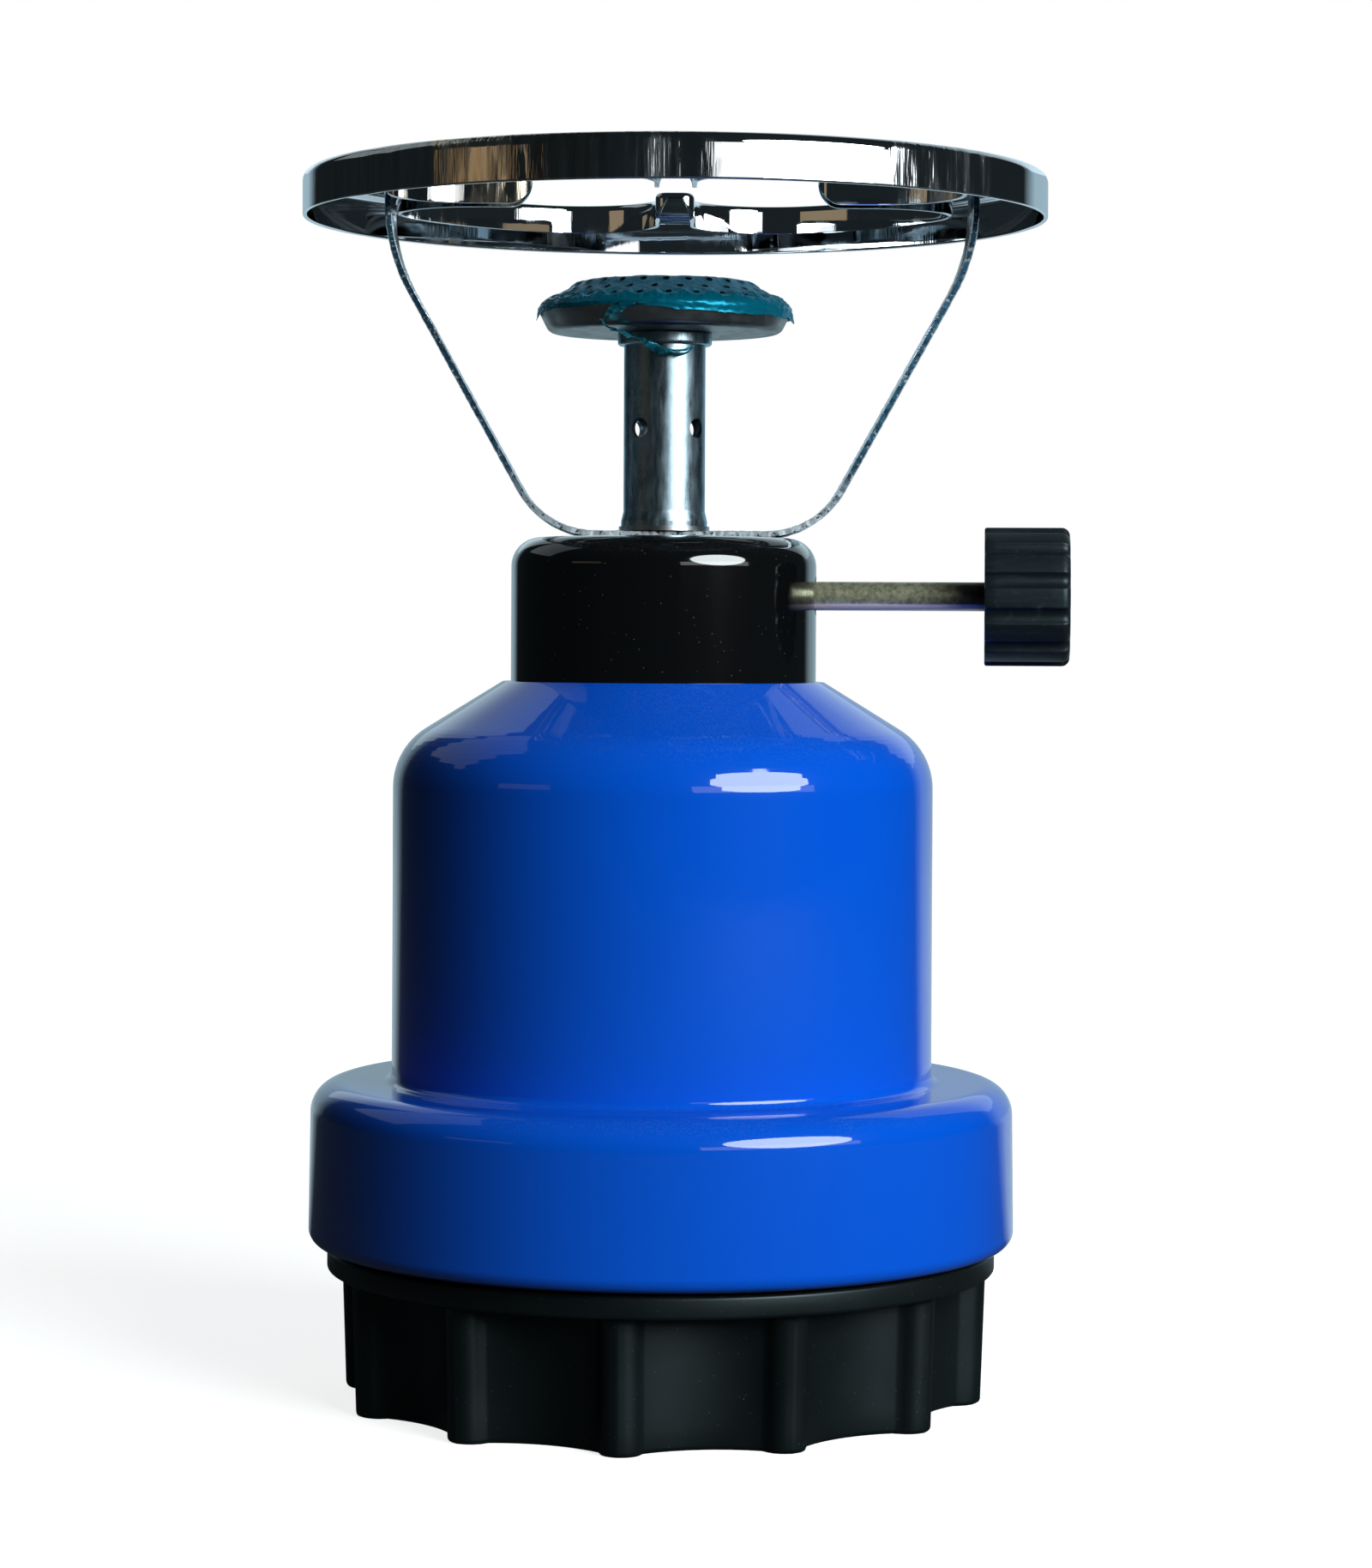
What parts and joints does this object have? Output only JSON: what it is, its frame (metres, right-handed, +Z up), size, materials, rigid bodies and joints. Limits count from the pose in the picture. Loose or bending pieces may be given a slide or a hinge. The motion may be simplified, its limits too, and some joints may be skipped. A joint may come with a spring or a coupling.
{
  "type": "portable gas burner",
  "caption": "Portable gas burner for a pierceable cartridge: fluted screw-on base, steel body, needle valve with side knob, burner head and pan ring.",
  "frame": {"origin": "on the burner's axis, in the plane that the base stands on", "axes": "+Z up along the burner tube, +X out along the valve spindle to the knob"},
  "size_m": [0.1336, 0.1296, 0.2125],
  "materials": {
    "black_plastic": "satin moulded plastic, dusty",
    "knob_plastic": "satin moulded plastic",
    "collar_plastic": "glossy moulded plastic, dusty",
    "blue_enamel": "glossy blue paint on pressed steel",
    "zinc_steel": "zinc plated",
    "tube_steel": "bright zinc plated tube",
    "strip_steel": "zinc plated strip with sheared edges",
    "dark_steel": "dark satin steel",
    "brass": "turned brass",
    "yellow_zinc": "yellow passivated steel",
    "bronze_filter": "sintered bronze",
    "rubber": "soft black rubber",
    "film": "thin torn protective film",
    "chrome": "bright chrome plate"
  },
  "bodies": {
    "base": {"base_cup": "black_plastic"},
    "seat": {"thrust_plate": "zinc_steel", "cartridge_pad": "rubber"},
    "stove": {"thread_ring": "black_plastic", "body_shell": "blue_enamel", "neck_bush": "zinc_steel", "valve_nut": "brass", "valve_body": "brass", "piercing_needle": "zinc_steel", "cartridge_seal": "rubber", "gas_filter": "bronze_filter", "jet": "brass", "gland_nut": "brass", "collar": "collar_plastic", "support_strip": "strip_steel", "strip_washer": "zinc_steel", "burner_tube": "tube_steel", "neck_ring": "tube_steel", "burner_cup": "dark_steel", "head_nut": "zinc_steel", "head_baffle": "zinc_steel", "burner_cap": "dark_steel", "cap_film": "film", "pan_ring": "chrome"},
    "spindle_seal": {"spindle_seal": "rubber"},
    "knob": {"spindle": "yellow_zinc", "control_knob": "knob_plastic"}
  },
  "joints": [
    {"name": "base_turn", "type": "hinge", "parent": "base", "child": "seat", "pos_m": [0, 0, 0.003], "axis": [0, 0, 1], "range_deg": [0, 450]},
    {"name": "shell_lift", "type": "slide", "parent": "seat", "child": "stove", "axis": [0, 0, 1], "range_m": [0, 0.0151]},
    {"name": "spindle_travel", "type": "slide", "parent": "stove", "child": "spindle_seal", "axis": [1, 0, 0], "range_m": [0, 0.0016]},
    {"name": "knob_turn", "type": "hinge", "parent": "spindle_seal", "child": "knob", "pos_m": [0.0558, 0, 0.13933], "axis": [1, 0, 0], "range_deg": [0, 721]}
  ],
  "couplings": [
    {"joint": "shell_lift", "follows": "base_turn", "m_per_rad": 0.0019099},
    {"joint": "knob_turn", "follows": "spindle_travel", "rad_per_m": 7854}
  ]
}
